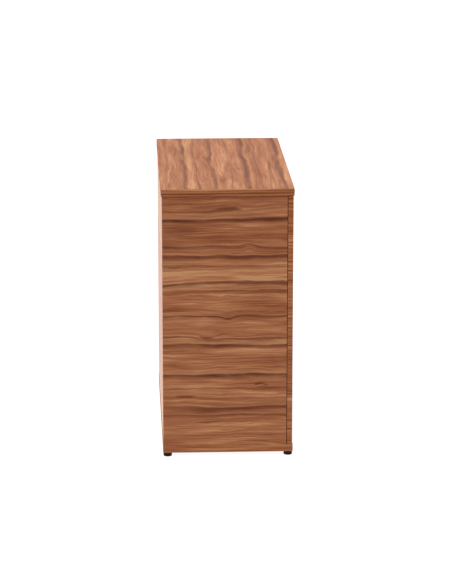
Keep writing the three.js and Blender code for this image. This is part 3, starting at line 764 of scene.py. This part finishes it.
# two screws hold the strike to the top board, their heads down
STRIKE_SCREWS_BACK, STRIKE_SEAT = -171, 914.6
STRIKE_HEAD = (3.6, 1.8)
for side, x in (("left", -11), ("right", 11)):
    head_at = (x, STRIKE_SCREWS_BACK, STRIKE_SEAT)
    piece = screw(f"strike_screw_{side}", head_at, (0, 0, -1), *STRIKE_HEAD, *SMALL_SHANK)
    settle(piece, "cabinet")


# ---------------------------------------------------------------- springs and felt


WIRE_RADIUS = 2.5
COIL_MIDDLE = 5.15  # the coils' axis, front to back, in mm
COIL_TURNS = 8.0
TURN_STEPS = 48
WIRE_STEPS = 12  # corners round the wire
CLOSED_TURNS = 0.8  # turns at each end that lie closed
EASED_TURNS = 0.7  # turns over which the pitch then opens
CLOSED_PITCH = 2.1 * WIRE_RADIUS


def spring(side):
    """A coil spring of round wire with its end turns closed.

    Along the wire, the turn grows evenly and the height grows by a pitch that is just over one wire
    thickness in the end turns and eases to a wide one between them. Round the wire, a circle lies in the
    plane of the coil's radius and the upright.
    """
    node = f"platform_spring_{side}"
    low, high = box_in_mm(node)
    centre = (low[0] + high[0]) / 2, COIL_MIDDLE
    coil = (high[0] - low[0]) / 2 - WIRE_RADIUS
    bottom, top = low[2] + WIRE_RADIUS, high[2] - WIRE_RADIUS
    turn = np.linspace(0, COIL_TURNS, int(COIL_TURNS * TURN_STEPS) + 1)
    ease = np.clip((np.minimum(turn, COIL_TURNS - turn) - CLOSED_TURNS) / EASED_TURNS, 0, 1)
    open_share = ease**2 * (3 - 2 * ease)
    closed_rise = np.concatenate([[0], np.cumsum(1 - (open_share[1:] + open_share[:-1]) / 2)])
    open_rise = np.concatenate([[0], np.cumsum((open_share[1:] + open_share[:-1]) / 2)])
    closed_rise *= CLOSED_PITCH / TURN_STEPS
    height = bottom + closed_rise + open_rise * (top - bottom - closed_rise[-1]) / open_rise[-1]
    way = 2 * math.pi * turn * (1 if side == "left" else -1)
    ring = full_turn(WIRE_STEPS)
    radius = coil + WIRE_RADIUS * np.cos(ring)
    x = centre[0] + radius * np.cos(way)[:, None]
    y = centre[1] + radius * np.sin(way)[:, None]
    z = height[:, None] + WIRE_RADIUS * np.sin(ring)
    points = np.stack([x, y, z], -1)
    piece = surface(f"{node}_wound", points, spring_steel, (False, True), lids=True)
    settle(piece, "front_unit", [node])
    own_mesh(piece)


spring("left")
spring("right")


RIM_SHARES = np.array([0, 0.05, 0.2, 0.5, 1.0])  # of half the felt's thickness, in from its rim
FELT_MARGIN = 6  # mm from the rim to the evenly spaced part of the grid
FELT_COUNTS = (110, 50)
FELT_WAVE = 0.06  # mm, how far each of the waves on top goes up and down


def felt_pad():
    """A needled felt pad glued to the platform: two grids over one rectangle, joined at their rims.

    Each side lies half the thickness from the middle, less the fall of a quarter circle near the rim. The
    top also rises and falls by three crossed waves, and is lowered so that none stands above the box.
    """
    low, high = box_in_mm("platform_felt")
    half = (high[2] - low[2]) / 2
    rim = half * RIM_SHARES
    lines = []
    for k, count in enumerate(FELT_COUNTS):
        inner = np.linspace(low[k] + FELT_MARGIN, high[k] - FELT_MARGIN, count)
        lines.append(np.concatenate([low[k] + rim, inner, high[k] - rim[::-1]]))
    x, y = lines[0][:, None], lines[1][None, :]
    inset = np.minimum(np.minimum(x - low[0], high[0] - x), np.minimum(y - low[1], high[1] - y))
    lift = np.sqrt(np.clip(half**2 - np.clip(half - inset, 0, half) ** 2, 0, None))
    waves = np.sin(x / 23 + y / 61) + np.sin(y / 17 - x / 90) + np.sin(x / 9.1 + y / 11.7)
    sides = []
    for way, wavy in ((1, FELT_WAVE), (-1, 0)):
        z = (low[2] + high[2]) / 2 + way * lift - wavy * (waves + 3) * (lift / half)
        sides.append(np.stack([x + 0 * y, y + 0 * x, z], -1)[::way])
    piece = surface("platform_felt_pad", np.concatenate(sides), grey_felt, (True, False))
    settle(piece, "platform", ["platform_felt"])


felt_pad()


# ---------------------------------------------------------------- stage, light and camera


FLOOR_RINGS = (0, 2e3, 40e3)  # radii in mm
FLOOR_STEPS = 96
SKY_LOW, SKY_HIGH = 0.48, 1.0  # how bright the studio is at the horizon and overhead
LAMP_WIDTH = math.radians(70)
LAMP_POWER = 1.65 * math.pi
LAMP_WAY = (0.15, -0.8, -1)
CAMERA_AT = (-8.4043, 0.3683, 2.6516)
CAMERA_PITCH = math.radians(14.549)
CAMERA_YAW = math.radians(2.519)
CAMERA_LENS = 149.5


def make_floor():
    """A round white table, lit from within, its rim far away on all sides."""
    material, _, _ = new_material(
        "lit_white_table",
        Base_Color=linear("#5E5E5E"),
        Roughness=0.9,
        Emission_Color=linear("#FFFFFF"),
        Emission_Strength=0.94,
    )
    material.cycles.emission_sampling = "NONE"
    turn = full_turn(FLOOR_STEPS)
    radius = np.array(FLOOR_RINGS)[:, None]
    points = np.stack([radius * np.cos(turn), radius * np.sin(turn), 0 * radius * turn], -1)
    surface("floor", points, material, (False, True))


def make_world():
    """A white studio: dim at the horizon, bright overhead."""
    world = bpy.data.worlds.new("studio")
    bpy.context.scene.world = world
    world.use_nodes = True
    tree = world.node_tree
    tree.nodes.clear()
    towards = add(tree, "TexCoord", out="Generated")
    height = add(tree, "SeparateXYZ", (towards,), out="Z")
    strength = add(tree, "MapRange", (height, 0.2, 0.75, SKY_LOW, SKY_HIGH))
    shine = add(tree, "Background", {"Strength": strength})
    add(tree, "OutputWorld", (shine,), out=None)


def make_overhead():
    """A very wide soft light from above and behind, as from a studio's ceiling bank."""
    data = bpy.data.lights.new("overhead", "SUN")
    data.angle = LAMP_WIDTH
    data.energy = LAMP_POWER
    lamp = bpy.data.objects.new("overhead", data)
    lamp.rotation_euler = Vector(LAMP_WAY).to_track_quat("-Z", "Y").to_euler()
    bpy.context.collection.objects.link(lamp)


def make_camera():
    """A long lens at the left end, above and slightly behind the middle."""
    data = bpy.data.cameras.new("camera")
    data.lens = CAMERA_LENS
    data.sensor_width = 36
    data.clip_end = 100
    camera = bpy.data.objects.new("camera", data)
    camera.location = CAMERA_AT
    level = math.cos(CAMERA_PITCH)
    aim = (math.cos(CAMERA_YAW) * level, -math.sin(CAMERA_YAW) * level, -math.sin(CAMERA_PITCH))
    camera.rotation_euler = Vector(aim).to_track_quat("-Z", "Y").to_euler()
    bpy.context.collection.objects.link(camera)
    bpy.context.scene.camera = camera


make_floor()
make_world()
make_overhead()
make_camera()
bpy.context.scene.view_settings.view_transform = "Standard"
